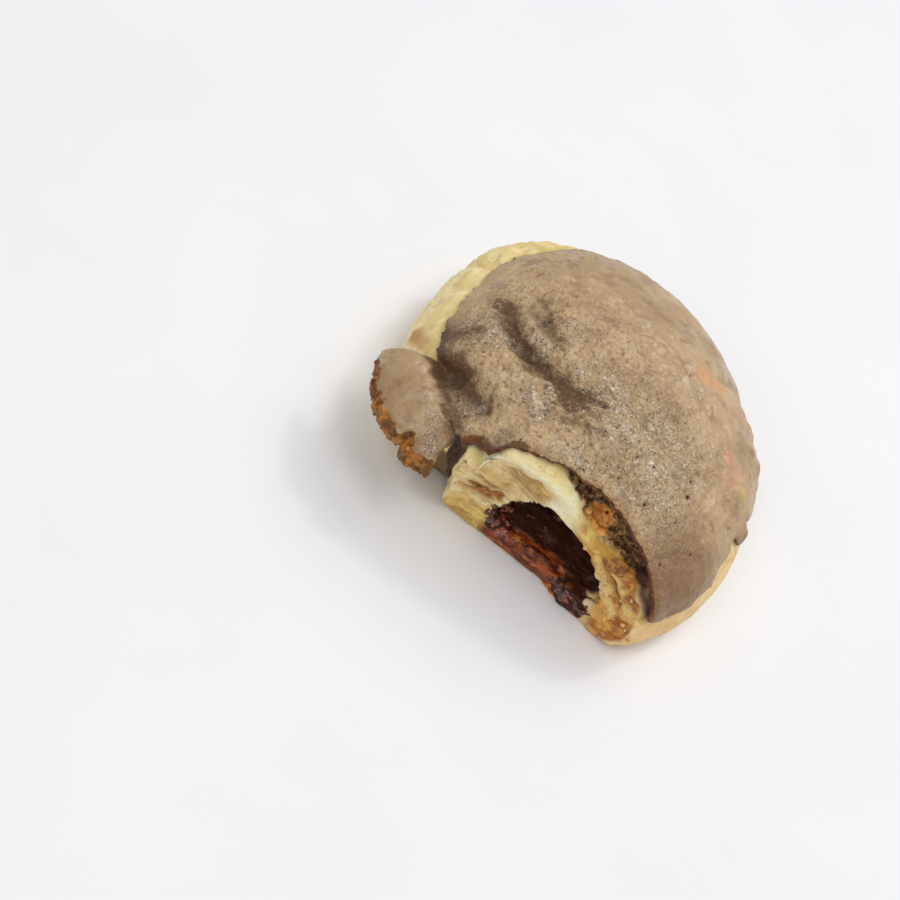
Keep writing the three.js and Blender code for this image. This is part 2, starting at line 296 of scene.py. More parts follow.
# A closed block between two grids of points of the same shape.
def block(name, front, back):
    rows, columns = front.shape[:2]
    points = np.concatenate([front.reshape(-1, 3), back.reshape(-1, 3)])
    far = rows * columns
    faces = []
    for r in range(rows - 1):
        for c in range(columns - 1):
            a = r * columns + c
            quad = (a, a + 1, a + columns + 1, a + columns)
            faces.append(quad)
            faces.append(tuple(far + i for i in reversed(quad)))
    rim = [(0, c) for c in range(columns)] + [(r, columns - 1) for r in range(1, rows)]
    rim += [(rows - 1, c) for c in range(columns - 2, -1, -1)] + [(r, 0) for r in range(rows - 2, 0, -1)]
    loop = [r * columns + c for r, c in rim]
    for a, b in zip(loop, loop[1:] + loop[:1]):
        faces.append((a, far + a, far + b, b))
    return solid_from(name, points, faces)


# The bun's skin as a closed form, with points at the distance outside it that a function gives.
def skin_ball(name, columns, rows, outside):
    angle = np.linspace(0, 2 * np.pi, columns, endpoint=False)
    rings = [skin_point(angle, np.full(columns, polar), outside(angle, polar))
             for polar in np.linspace(0, np.pi, rows + 1)[1:-1]]
    ahead, tip = np.zeros(1), 1e-6
    top = skin_point(ahead, np.array([tip]), outside(ahead, tip)[0])[0]
    return turned(name, top, rings, (0, 0, 0))


# How far the edge of the mouth lies from its middle, in each direction.
def mouth_reach(turn):
    edge = np.array(MOUTH_EDGE, float) - MOUTH_MIDDLE
    at = np.arctan2(edge[:, 1], edge[:, 0])
    order = np.argsort(at)
    return np.interp(turn, at[order], np.hypot(*edge.T)[order], period=2 * np.pi)


def mouth_hollow(name):
    middle_x, middle_z = MOUTH_MIDDLE
    turn = np.linspace(-np.pi, np.pi, 120, endpoint=False)
    reach = mouth_reach(turn)

    def ring(y, share):
        return np.stack([middle_x + share * reach * np.cos(turn), y + 0 * turn,
                         middle_z + share * reach * np.sin(turn)], axis=-1)

    rings = [ring(y, 1.0) for y in np.linspace(MOUTH_START, MOUTH_NARROWS, 12)]
    rings += [ring(MOUTH_NARROWS + 14.5 * math.sin(t), math.cos(t)) for t in np.linspace(0.08, 1.5, 20)]
    return turned(name, (middle_x, MOUTH_START, middle_z), rings, (middle_x, MOUTH_END, middle_z))


# An egg about a middle, from its half sizes, grown by a margin and made a little uneven.
def egg(name, middle, half, margin=0.0, unevenness=0.0, columns=24, rows=12):
    angle = np.linspace(0, 2 * np.pi, columns, endpoint=False)

    def place(*way):
        x, y, z = way
        grown = 1 + unevenness * wobble(3 * x + middle[0], 4 * z + 2 * y)
        return np.stack([m + w * (h * grown + margin) for m, w, h in zip(middle, way, half)], axis=-1)

    rings = [place(math.sin(p) * np.cos(angle), math.sin(p) * np.sin(angle), math.cos(p) + 0 * angle)
             for p in np.linspace(0, math.pi, rows + 1)[1:-1]]
    top, bottom = place(np.zeros(2), np.zeros(2), np.array([1.0, -1.0]))
    return turned(name, top, rings, bottom)


def filling_form(name, margin):
    return egg(name, FILLING_MIDDLE, FILLING_HALF, margin, 0.035, 96, 48)


# What the modifiers make of a piece becomes its mesh.
def settle(piece):
    mesh = bpy.data.meshes.new_from_object(piece.evaluated_get(bpy.context.evaluated_depsgraph_get()))
    old = piece.data
    mesh.name = piece.name
    piece.modifiers.clear()
    piece.data = mesh
    bpy.data.meshes.remove(old)


def combine(piece, tool, way):
    step = piece.modifiers.new(way, "BOOLEAN")
    step.operation = way
    step.solver = "MANIFOLD"
    step.object = tool
    settle(piece)
    bpy.data.objects.remove(tool)


def even_out(piece, size, smoothing):
    step = piece.modifiers.new("even", "REMESH")
    step.mode = "VOXEL"
    step.voxel_size = size * MM
    soften = piece.modifiers.new("soften", "SMOOTH")
    soften.iterations = smoothing
    settle(piece)


def points_of(piece):
    flat = np.empty(3 * len(piece.data.vertices))
    piece.data.vertices.foreach_get("co", flat)
    return flat.reshape(-1, 3) * 1000


def normals_of(piece):
    flat = np.empty(3 * len(piece.data.vertices))
    piece.data.vertex_normals.foreach_get("vector", flat)
    return flat.reshape(-1, 3)


def place_points(piece, points):
    piece.data.vertices.foreach_set("co", (points * MM).ravel())
    piece.data.update()


# Each point moves along its normal by the lift given for it.
def swell(piece, points, lift):
    place_points(piece, points + normals_of(piece) * lift[:, None])


# The edges between the points wanted are halved.
def refine(piece, wanted):
    work = bmesh.new()
    work.from_mesh(piece.data)
    work.verts.ensure_lookup_table()
    edges = [e for e in work.edges if wanted[e.verts[0].index] and wanted[e.verts[1].index]]
    bmesh.ops.subdivide_edges(work, edges=edges, cuts=1, use_grid_fill=True)
    work.to_mesh(piece.data)
    work.free()


# Parts of a piece that came away from it as scraps of fewer faces than the number given are dropped.
def drop_scraps(piece, least_faces):
    work = bmesh.new()
    work.from_mesh(piece.data)
    unseen = set(work.faces)
    scraps = []
    while unseen:
        island = [unseen.pop()]
        for face in island:
            for edge in face.edges:
                for beside_it in edge.link_faces:
                    if beside_it in unseen:
                        unseen.remove(beside_it)
                        island.append(beside_it)
        if len(island) < least_faces:
            scraps += island
    bmesh.ops.delete(work, geom=scraps, context="FACES")
    work.to_mesh(piece.data)
    work.free()


# Shares of 1 for each point, kept with the mesh for its material.
def keep_masks(piece, **masks):
    for name, values in masks.items():
        layer = piece.data.attributes.new(name, "FLOAT", "POINT")
        layer.data.foreach_set("value", np.clip(values, 0, 1).astype(np.float32))


def torn_away(name):
    x, z = np.meshgrid(np.linspace(-42, 54, 241), np.linspace(-6, 48, 136))
    return block_before(name, x, torn_face(x, z), z)


bread = skin_ball("soft_bread", 180, 90, lambda angle, polar: 0 * angle)
combine(bread, torn_away("torn_front"), "DIFFERENCE")
hollow = mouth_hollow("mouth_hollow")
combine(hollow, filling_form("filling_hollow", FILLING_GAP), "UNION")
combine(bread, hollow, "DIFFERENCE")
even_out(bread, BREAD_GRID, 2)


# Where the torn crumb, the hollow and the recess under the lifted crust are, as shares of 1.
def bread_regions(points):
    x, y, z = points.T
    depth = -outside_skin(points)
    front = ramp(-y, 21, 24) * ramp(depth, 0.4, 1.6)
    from_middle = x - MOUTH_MIDDLE[0], z - MOUTH_MIDDLE[1]
    beyond = np.hypot(*from_middle) - mouth_reach(np.arctan2(*reversed(from_middle)))
    behind = y - torn_front(x, z)
    mouth = (1 - ramp(beyond, 0.6, 1.6)) * ramp(behind, 0.2, 1.4) * (1 - ramp(y, -8, -4))
    lip = lip_height(x)
    inner = ramp(depth, 4, 7) * ramp(y, -24, -21) * ramp(z, 1, 3) * (1 - ramp(z, lip - 4, lip - 2))
    recess = front * ramp(behind, 0.8, 1.7) * ramp(z, lip - 2.5, lip - 1.0)
    return front, np.maximum(mouth, inner), recess


front, hollow_share, _ = bread_regions(points_of(bread))
near_front = (front > 0.02) | (hollow_share > 0.02)
refine(bread, near_front & (points_of(bread)[:, 2] > 0.3))

points = points_of(bread)
front, hollow_share, recess = bread_regions(points)
x, y, z = points.T
angle = np.arctan2(y, x)
lip = lip_height(x)
free = ramp(z, 0.2, 2.5)
skin = 1 - np.maximum(front, hollow_share)

# The lip stays smooth. Below it the crumb is pulled into fibres, with pores between them.
smooth_lip = ramp(z, lip - 7, lip - 3.5) * band(x, -26, -22, 18, 24)
smooth_lip = np.maximum(smooth_lip, band(x, 2, 5, 12, 15) * ramp(z, 20, 22))
pulled = rough_ground(points, 2.6, 3, 3, stretch=(2.8, 1, 0.8))
pores = rough_ground(points, 1.5, 2, 9, stretch=(1.8, 1, 0.8))
crumb_lift = 0.5 * pulled - 0.6 * ramp(pores, 0.2, 0.6)
crumb_lift = crumb_lift * (1 - 0.85 * smooth_lip) + 0.35 * smooth_lip * ground(points, 6, 21)
left_part = 1 - ramp(x, -4, 3)
crumb_lift = crumb_lift + 0.5 * hill(z, lip - 2.6, 2.3) * (1 - 0.5 * ramp(x, 0, 12))
crumb_lift = crumb_lift - 1.0 * left_part * hill(z, np.minimum(lip, 30) - 8.0, 2.6)
shaken_x, shaken_z = x + 0.4 * ground(points, 2, 60), z + 0.4 * ground(points, 2, 61)

FRONT_MARKS = {  # path as x, height, then lift, width
    "slit": ([(-18.8, 26.2), (-17.5, 24.2), (-15.9, 19.8)], -1.8, 0.6),
    "pit": ([(-11, 23.2), (-9.1, 22.9), (-7.6, 23.6)], -1.5, 0.9),
    "streak": ([(-18.5, 10.8), (-14.4, 12.4), (-11.9, 12.8), (-9.1, 13.4), (-7.4, 13.7), (-5.8, 14.4)],
               -1.2, 1.3),
    "small_streak": ([(-12.8, 15.2), (-11.4, 15), (-9.2, 14.8)], -0.7, 0.7),
    "yellow_crease": ([(-12.4, 30.2), (-11.7, 32.6)], -0.4, 0.8),
    "white_ridge": ([(-16.2, 26), (-15.4, 24.6), (-13.1, 20.8), (-10.2, 19.6), (-7.5, 19)], 0.9, 1.3),
    "pale_column": ([(20.8, 20.6), (23.4, 17.5), (26, 15.5), (28.8, 12.7), (30.4, 11)], 0.7, 1.1),
    "brown_groove": ([(22.9, 20.6), (25, 19), (27.4, 16.8), (30.2, 14.6)], -0.9, 0.7),
    "ochre_strand": ([(24.6, 20.5), (27.6, 19.1), (30.6, 17.4), (33.4, 14.5)], 0.6, 1.3),
    "glazed_lump": ([(21.6, 23.6), (23.6, 24), (25.8, 24.2)], 1.0, 1.4),
    "orange_dip": ([(31.4, 18.8), (33.6, 19), (36, 19.5)], -0.7, 2.0),
    "dark_line": ([(35.2, 9.2), (35.7, 11), (36.1, 12.7)], -0.6, 0.5),
}
mark = {}
for name, (path, height, width) in FRONT_MARKS.items():
    mark[name] = stroke(path, shaken_x, shaken_z, width) * front
    crumb_lift = crumb_lift + height * mark[name]
dark_lumps = rough_ground(points, 2.2, 3, 14)
lift = front * (1 - recess) * crumb_lift
lift = lift + recess * (1.1 * dark_lumps + 0.4 * ground(points, 0.9, 5))
lift = lift + hollow_share * (0.7 * rough_ground(points, 5.5, 2, 30) + 0.12 * ground(points, 1.2, 33))
# The side is softly lumpy, and rougher at the left, where its rim rises against the crust.
rim = ramp(z, 10, 16) * ramp(np.cos(angle - math.radians(168)), 0.35, 0.8)
below_crust = baked_edge_height(angle) - z
rim = rim * ramp(below_crust, -0.5, 3.0)
between_lumps = (1.5 * angle_hill(angle, 170.5, 2.6) + 1.2 * angle_hill(angle, 158, 2.4)
                 + 0.4 * angle_hill(angle, 186, 2.0)) * ramp(z, 6, 12)
lift = lift + skin * ramp(z, 8, 16) * (1.2 * angle_hill(angle, 140, 12) - 0.5 * angle_hill(angle, 181, 8))
lift = lift + skin * (0.22 * rough_ground(points, 5, 3, 40) + rim * 0.6 * rough_ground(points, 3.0, 2, 44))
lift = lift + skin * rim * (0.5 - 1.3 * between_lumps)
lift = lift + skin * (-0.4) * ramp(rough_ground(points, 1.6, 2, 50), 0.45, 0.8) * rim
swell(bread, points, lift * free)

# Chocolate has soaked the hollow, and stains the torn crumb round the mouth and below it.
points = points_of(bread)
x, y, z = points.T
behind = y - torn_front(x, z)
floor_of_mouth = 1 - ramp(z, 8.6, 10.2)
deep = (ramp(behind, 0.0, 1.3) * (1 - floor_of_mouth)
        + ramp(behind + 0.8 * ground(points, 3, 31), 2.2, 4.6) * floor_of_mouth)
ragged = 1.3 * rough_ground(points, 3, 2, 77)
around = np.hypot((x + 1.3) / 4.6, (z - 9.2) / 4.6) + 0.25 * ragged
upper_left = 1 - ramp(np.hypot((x - 3) / 9.5, (z - 15) / 8) + 0.2 * ragged, 0.85, 1.05)
low_right = np.hypot((x - 21.2) / 5.8, (z - 3.8) / 3.6) + 0.25 * ragged
face_stain = front * np.maximum(1 - ramp(around, 0.8, 1.05), (1 - ramp(low_right, 0.75, 1.0)))
chocolate_share = np.maximum(np.maximum(hollow_share * deep, 0.92 * face_stain),
                             0.8 * front * upper_left * hollow_share)
dark_end = stroke([(31.2, 24.8), (34.2, 22.2), (36.6, 18.6)], x, z, 1.5) * ramp(-y, 27, 30)
strip = np.maximum(front, hollow_share) * ramp(x, -6, -3) * (1 - ramp(x + 0.4 * z, 25, 28))
strip = strip * np.maximum(1 - ramp(z, 7.5, 9), hollow_share * floor_of_mouth)
right_stain = front * ramp(x + 0.25 * z, 26, 30) * (1 - ramp(x, 39, 42))
# The round mark below the middle of the lip is painted shade under its rolled edge; the rest is the crumb's
# own yellow-brown colour.
ochre = np.maximum(front * band(x, 9, 14, 22, 25) * ramp(z, 15, 19),
                   np.maximum(mark["ochre_strand"], 0.6 * front * round_mark((x - 1.5) / 2, z - 27.2, 2.2)))
brown = (1.2 * mark["slit"] + 0.9 * mark["pit"] + 0.9 * mark["brown_groove"] + mark["glazed_lump"]
         + mark["orange_dip"] + mark["streak"] * ramp(x, -19, -8) + 0.7 * mark["small_streak"]
         + 1.3 * mark["dark_line"])
tan = np.maximum(round_mark((x + 1.0) / 1.5, z - 25.3, 5.6), 0.9 * round_mark((x + 9) / 1.3, z - 15, 4.6))
golden = np.maximum(1 - ramp(x, -19, -16), 1 - ramp(z + 0.4 * np.abs(x + 12), 9, 13))
warm = 1 - ramp(np.hypot((x - 13.8) / 1.25, z - 27.4) + 0.5 * ground(points, 2, 63), 2.4, 3.6)
degrees = np.degrees(angle) % 360
keep_masks(
    bread,
    torn=front,
    hollow=chocolate_share,
    recess=np.maximum(recess, dark_end),
    lip=front * smooth_lip,
    smeared=strip * ramp(z, 0.0, 0.8),
    stained=right_stain * (1 - np.clip(mark["pale_column"] + mark["ochre_strand"], 0, 1)),
    ochre=ochre * (1 - recess),
    pale=1.1 * mark["white_ridge"] + 1.1 * mark["pale_column"],
    brown=np.clip(brown, 0, 1) * (1 - recess),
    tan=front * tan,
    golden=front * golden,
    olive=np.maximum(mark["yellow_crease"], skin * hill(below_crust + ground(points, 3, 62), 0.3, 1.6)),
    warm_patch=recess * warm,
    smooth_dark=np.maximum(recess * ramp(x, 26, 28.5), dark_end),
    baked_under=1 - ramp(z, 0.3, 2.2),
    browned=skin * hill(degrees, 192, 9) * hill(z, 16 + 0.6 * (degrees - 188), 4),
    # Painted shade: the bread side low under the flap is darkened as if in its shadow.
    toasted=skin * angle_hill(angle, 228, 7) * (1 - ramp(z, 9, 16)),
    peach=ramp(np.cos(angle + math.radians(30)), -0.2, 0.9) * skin * (1 - ramp(z, 22, 26)),
)


def linear(red, green, blue):
    channels = np.array([red, green, blue]) / 255
    return (*np.where(channels <= 0.04045, channels / 12.92, ((channels + 0.055) / 1.055) ** 2.4), 1.0)


# A material being put together. Each call adds what it needs and gives back what that puts out, and
# a colour is given as red, green and blue up to 255.
class Finish:
    def __init__(self, name, roughness, specular=0.5, coat=0.0, coat_roughness=0.1):
        self.material = bpy.data.materials.new(name)
        self.material.use_nodes = True
        self.tree = self.material.node_tree
        self.shader = self.tree.nodes["Principled BSDF"]
        self.set("Roughness", roughness)
        self.set("Specular IOR Level", specular)
        self.set("Coat Weight", coat)
        self.set("Coat Roughness", coat_roughness)
        self.place = self.tree.nodes.new("ShaderNodeTexCoord").outputs["Object"]

    def set(self, name, value):
        self.put(self.shader.inputs[name], value)

    def put(self, socket, value):
        if isinstance(value, tuple):
            value = linear(*value)
        if isinstance(value, bpy.types.NodeSocket):
            self.tree.links.new(value, socket)
        elif value is not None:
            socket.default_value = value

    def grain(self, size, detail=3.0, roughness=0.55, stretch=(1, 1, 1), offset=0.0):
        spread = self.tree.nodes.new("ShaderNodeMapping")
        spread.inputs["Location"].default_value = (offset, offset * 0.7, -offset)
        spread.inputs["Scale"].default_value = [1000 / (size * s) for s in stretch]
        self.put(spread.inputs["Vector"], self.place)
        noise = self.tree.nodes.new("ShaderNodeTexNoise")
        for name, value in (("Scale", 1.0), ("Detail", detail), ("Roughness", roughness),
                            ("Vector", spread.outputs["Vector"])):
            self.put(noise.inputs[name], value)
        return noise.outputs["Fac"]

    def mask(self, name):
        node = self.tree.nodes.new("ShaderNodeAttribute")
        node.attribute_name = name
        return node.outputs["Fac"]

    def between(self, value, low, high, start=0.0, end=1.0):
        node = self.tree.nodes.new("ShaderNodeMapRange")
        node.interpolation_type = "SMOOTHSTEP"
        for name, number in (("Value", value), ("From Min", low), ("From Max", high),
                             ("To Min", start), ("To Max", end)):
            self.put(node.inputs[name], number)
        return node.outputs["Result"]

    def sum_up(self, a, way, b):
        node = self.tree.nodes.new("ShaderNodeMath")
        node.operation = way
        self.put(node.inputs[0], a)
        self.put(node.inputs[1], b)
        return node.outputs[0]

    def mix(self, share, a, b):
        node = self.tree.nodes.new("ShaderNodeMix")
        node.data_type = "RGBA"
        self.put(node.inputs["Factor"], share)
        self.put(node.inputs[6], a)
        self.put(node.inputs[7], b)
        return node.outputs[2]

    def where(self, name, low, high, most=1.0):
        return self.between(self.mask(name), low, high, 0, most)

    # A colour is laid over another where a mask has it, for each row of colour, mask and range.
    def lay(self, under, *rows):
        for colour, name, *reach in rows:
            under = self.mix(self.where(name, *reach) if reach else self.mask(name), under, colour)
        return under

    def patchy(self, first, second, low, high, *kind, most=1.0, **more):
        return self.mix(self.between(self.grain(*kind, **more), low, high, 0, most), first, second)

    def bump(self, height, depth, strength=1.0, under=None):
        node = self.tree.nodes.new("ShaderNodeBump")
        for name, value in (("Strength", strength), ("Distance", depth * MM),
                            ("Height", height), ("Normal", under)):
            self.put(node.inputs[name], value)
        return node.outputs["Normal"]


def wear(piece, finish):
    piece.data.materials.clear()
    piece.data.materials.append(finish.material)
    piece.data.shade_smooth()


crumb = Finish("bread_crumb", 0.6, 0.35)
pale = crumb.patchy((253, 237, 182), (245, 219, 150), 0.35, 0.65, 12, 3)
peach = crumb.patchy((250, 218, 158), (242, 200, 136), 0.35, 0.65, 12, 3, offset=3)
side = crumb.lay(pale, (peach, "peach"))
side = crumb.patchy(side, (208, 168, 102), 0.44, 0.74, 3.4, 4, 0.65, most=0.6)
# The last row is painted shade on the bread low under the flap.
side = crumb.lay(side, ((190, 138, 70), "browned", 0.2, 1, 0.8), ((186, 120, 58), "baked_under"),
                 ((98, 68, 42), "toasted", 0.1, 0.8, 0.85))

fibres = crumb.grain(1.1, 5, 0.65, stretch=(4, 1.4, 0.8))
torn = crumb.mix(crumb.between(fibres, 0.4, 0.66), (253, 237, 184), (232, 196, 124))
torn = crumb.patchy(torn, (196, 154, 88), 0.5, 0.68, 5.5, 4, 0.6, offset=5, most=0.6)
golden = crumb.patchy((231, 198, 108), (192, 144, 62), 0.42, 0.62, 4, 4, 0.6, offset=9)
tan = crumb.mix(crumb.between(fibres, 0.38, 0.6), (210, 176, 108), (154, 112, 60))
lip_tone = crumb.patchy((255, 248, 212), (246, 232, 170), 0.42, 0.62, 6, 3, offset=8)
ochre = crumb.patchy((232, 200, 112), (200, 150, 66), 0.42, 0.6, 3, 3, offset=10)
stain = crumb.patchy((222, 168, 84), (178, 108, 46), 0.42, 0.56, 4.5, 4, 0.6, offset=13)
stain = crumb.patchy(stain, (228, 186, 112), 0.56, 0.68, 1.5, 3, 0.6, offset=14, most=0.6)
brown = crumb.patchy((190, 130, 66), (130, 80, 38), 0.4, 0.6, 1.4, 3, 0.6, offset=16)
orange = crumb.patchy((164, 76, 26), (88, 34, 14), 0.42, 0.6, 1.6, 4, 0.6, stretch=(3.5, 1, 1), offset=11)
orange = crumb.patchy(orange, (214, 136, 62), 0.55, 0.66, 2.2, 4, 0.6, stretch=(2, 1, 1), offset=23,
                      most=0.75)
torn = crumb.lay(torn, (golden, "golden", 0, 1, 0.85), (tan, "tan", 0.1, 0.9, 0.85), (lip_tone, "lip"),
                 (ochre, "ochre"), (stain, "stained"), ((230, 196, 124), "pale", 0.3, 0.95, 0.75),
                 (brown, "brown", 0.15, 0.8, 0.95), (orange, "smeared"))

# In the recess under the lifted crust the crumb is painted dark: partly burnt batter, partly painted shade
# under the crust.
dark_crumb = crumb.patchy((92, 62, 38), (190, 142, 86), 0.44, 0.6, 1.7, 4, 0.6, offset=17)
dark_crumb = crumb.lay(dark_crumb, ((84, 54, 44), "smooth_dark"))
warm = crumb.patchy((250, 184, 100), (206, 122, 52), 0.4, 0.62, 2.4, 3, 0.6, offset=18)
shell = crumb.lay(side, (torn, "torn"), ((202, 178, 84), "olive", 0.2, 1, 0.55), (dark_crumb, "recess"),
                  (warm, "warm_patch", 0.2, 0.7, 0.95))
uneven_soak = crumb.between(crumb.grain(1.4, 4, 0.6, offset=21), 0.3, 0.7, -0.22, 0.22)
soaked = crumb.sum_up(crumb.mask("hollow"), "ADD", uneven_soak)
shell = crumb.mix(crumb.between(soaked, 0.12, 0.4, 0, 0.85), shell, (122, 62, 38))
shell = crumb.mix(crumb.between(soaked, 0.38, 0.66), shell, (72, 42, 30))
crumb.set("Base Color", shell)
wet = crumb.sum_up(crumb.where("hollow", 0, 1, 0.16), "ADD", crumb.where("smeared", 0, 1, 0.34))
crumb.set("Roughness", crumb.sum_up(0.68, "SUBTRACT", wet))
crumb.set("Specular IOR Level", crumb.between(crumb.mask("hollow"), 0, 1, 0.35, 0.1))
fine = crumb.bump(crumb.grain(0.5, 3, 0.6, offset=20), 0.2, 0.7)
crumb.set("Normal", crumb.bump(crumb.grain(1.8, 3, 0.6, stretch=(2, 1, 1)), 0.4, 0.7, fine))
wear(bread, crumb)
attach(bread, "root")
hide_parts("bread")

# The coffee crust: a batter of butter, sugar and coffee, poured over the risen dough in a spiral and
# baked to a thin brittle shell, grainy and satin, with wrinkles and pinholes. It was torn at the
# front, and at the front left a flap of it is pulled outwards on its crease.
CRUST_GAP = 0.35
CRUST_THICKNESS = 1.9
BAKED_EDGE_THICKNESS = 1.1
FLAP_START = 203.0
FLAP_END = 243.0
FLAP_REACH = 52.0
FLAP_EDGE_HEIGHT = 20.5
FLAP_CREASE_HEIGHT = 26.8
DRIP_MIDDLE = (43.2, -2.6, 25.4)
DRIP_HALF = (2.1, 3.2, 2.6)
CRUST_GRID = 0.72
LEAST_CRUST = 1000  # faces; less than that is a loose scrap
FINE_UP_TO = 24  # y, behind which the crust keeps its larger faces
TOP_FROM = 22  # height that folds and creases run down to
PRESSED_DEPTH = 4  # how deep the folds press the dough too


# The crust's outer face, which thins towards its baked edge.
def crust_outside(angle, polar):
    z = skin_point(angle, np.full_like(angle, polar))[:, 2]
    edge = baked_edge_height(angle)
    thinning = 1 - ramp(z, edge, edge + 6)
    return CRUST_GAP + CRUST_THICKNESS + (BAKED_EDGE_THICKNESS - CRUST_THICKNESS) * thinning


# Where the crust broke along the tear: a small tongue hangs down at the left, and it lifted off the
# lip most in the middle.
def broken_line(x):
    return tear_line(x) - 3.4 * hill(x, -13.8, 2.2) + 1.1 * hill(x, 0.5, 4.5)


def crust_torn_away(name):
    x, z = np.meshgrid(np.linspace(-50, 50, 401), np.linspace(-10, 70, 3))
    ragged = 0.5 * wobble(x * 0.8) * (1 - ramp(x, 20, 27)) + 0.2 * wobble(x * 3.1 + 2)
    return block_before(name, x, broken_line(x) + ragged, z)


def below_baked_edge(name):
    angle = np.linspace(0, 2 * np.pi, 360, endpoint=False)
    edge = baked_edge_height(angle) + 0.12 * wobble(np.degrees(angle) * 0.4)

    def ring(radius, z):
        return np.stack([radius * np.cos(angle), radius * np.sin(angle), z + 0 * angle], axis=-1)

    return turned(name, (0, 0, 30), [ring(12, edge), ring(70, edge), ring(70, -30)], (0, 0, -30))


# How far the broken edge of the flap reaches from the middle of the bun, with its chips and corners.
def flap_edge_radius(degrees):
    corner = 1.0 * hill(degrees, FLAP_START, 2) + 4.5 * hill(degrees, FLAP_END, 4)
    return (FLAP_REACH - corner - 2.4 * hill(degrees, 231.5, 2.2) + 1.1 * hill(degrees, 216, 6)
            - 1.6 * ramp(degrees, 224, 238))


# A point of the flap, from 0 to 1 along its crease, and from under the crust over its crease at 0 to
# its broken edge at 1. Its inner face lies below the outer one.
def flap_point(along, t, inner):
    opened = np.maximum(0, t)
    degrees = (FLAP_START + 3 * (1 - opened)) * (1 - along) + (FLAP_END - 9 * (1 - opened)) * along
    angle = np.radians(degrees)
    height = FLAP_CREASE_HEIGHT + 0.5 * wobble(degrees * 0.3)
    above, below = np.full_like(angle, math.radians(20)), np.full_like(angle, math.radians(90))
    for _ in range(24):
        polar = (above + below) / 2
        low = skin_point(angle, polar, CRUST_GAP + CRUST_THICKNESS)[..., 2] < height
        below = np.where(low, polar, below)
        above = np.where(low, above, polar)
    crease = skin_point(angle, above, CRUST_GAP + CRUST_THICKNESS - 0.6)
    crease_radius = np.hypot(crease[..., 0], crease[..., 1])
    reach = flap_edge_radius(degrees)
    crown_radius = crease_radius + 0.55 * (reach - crease_radius)
    edge_height = FLAP_EDGE_HEIGHT + 0.6 * wobble(degrees * 0.4)
    thickness = (2.2 + 1.2 * opened ** 2) * inner
    at_crease, at_crown, at_edge = (1 - opened) ** 2, 2 * opened * (1 - opened), opened ** 2
    radius = (at_crease * crease_radius + at_crown * crown_radius + at_edge * reach
              + 14 * np.minimum(0, t) - 0.3 * thickness)
    z = (at_crease * crease[..., 2] + at_crown * (crease[..., 2] + 1.8) + at_edge * edge_height
         - 0.95 * thickness)
    return np.stack([radius * np.cos(angle), radius * np.sin(angle), z], axis=-1)


crust = skin_ball("coffee_batter_crust", 240, 120, crust_outside)
combine(crust, crust_torn_away("crust_torn"), "DIFFERENCE")
combine(crust, below_baked_edge("below_edge"), "DIFFERENCE")
combine(crust, egg("drip", DRIP_MIDDLE, DRIP_HALF), "UNION")
along, t = np.meshgrid(np.linspace(0, 1, 61), np.linspace(-0.3, 1, 33))
combine(crust, block("flap", flap_point(along, t, 1.0), flap_point(along, t, 0.0)), "UNION")
bread_form = skin_ball("bread_form", 240, 120, lambda angle, polar: CRUST_GAP + 0 * angle)
combine(crust, bread_form, "DIFFERENCE")
even_out(crust, CRUST_GRID, 5)
drop_scraps(crust, LEAST_CRUST)

points = points_of(crust)
refine(crust, (outside_skin(points) > CRUST_GAP + 0.9) & (points[:, 1] < FINE_UP_TO))
points = points_of(crust)
x, y, z = points.T
angle = np.arctan2(y, x)
degrees = np.degrees(angle) % 360
away = outside_skin(points)
on_flap = ramp(away, 3.2, 4.6) * band(degrees, 199, 203, 245, 249)
inward = flap_edge_radius(degrees) - np.hypot(x, y) + 0.8 * rough_ground(points, 2.5, 2, 58)
broken_width = 0.1 + 0.8 * ramp(degrees, 207, 215) + 0.9 * ramp(degrees, 225, 234)
broken = (1 - ramp(inward, broken_width, broken_width + 0.7)) * ramp(away, 3, 4.5) * on_flap
top_side = np.maximum(ramp(away, 0.9, 1.7), on_flap)
on_top = z > TOP_FROM
from_tear = y - broken_line(x)
near_tear = hill(from_tear, 0, 1.4 - 0.7 * ramp(x, -12, -6)) * ramp(z, 18, 22) * (x > -22)
wrinkled = ramp(np.hypot(x + 2, y + 12), 42, 16)

DEEP_FOLDS = [  # path in plan, depth, width
    ([(-41, -17.2), (-36.2, -19), (-34.1, -20.3), (-31.8, -21.6), (-29.5, -23)], 3, 2),
    ([(-29.5, -23), (-27.5, -24.3), (-24, -25.8), (-20.8, -27.8)], 1.6, 2),
    ([(-30.2, -1.2), (-28, -4.5), (-25.6, -7.2), (-22.6, -9.6), (-19.6, -11.2), (-16, -12.7),
      (-12.6, -12.8)], 1.5, 2.7),
    ([(-12.6, -12.8), (-9.6, -13.8), (-5.6, -13.8)], 1.5, 2.3),
    ([(-5.6, -13.8), (-3, -12.4), (0.1, -11.5)], 1.2, 1.3),
    ([(-25.4, 6.4), (-22, 1.4), (-19.4, -2.8), (-16.6, -6)], 0.8, 2),
    ([(-14.2, -38), (-13.8, -33), (-13.4, -30.8)], 1.5, 2.2),
    ([(-25.6, -31.6), (-23.6, -33.6), (-21.4, -35.6), (-19, -37.8)], 2.2, 1.4),
]
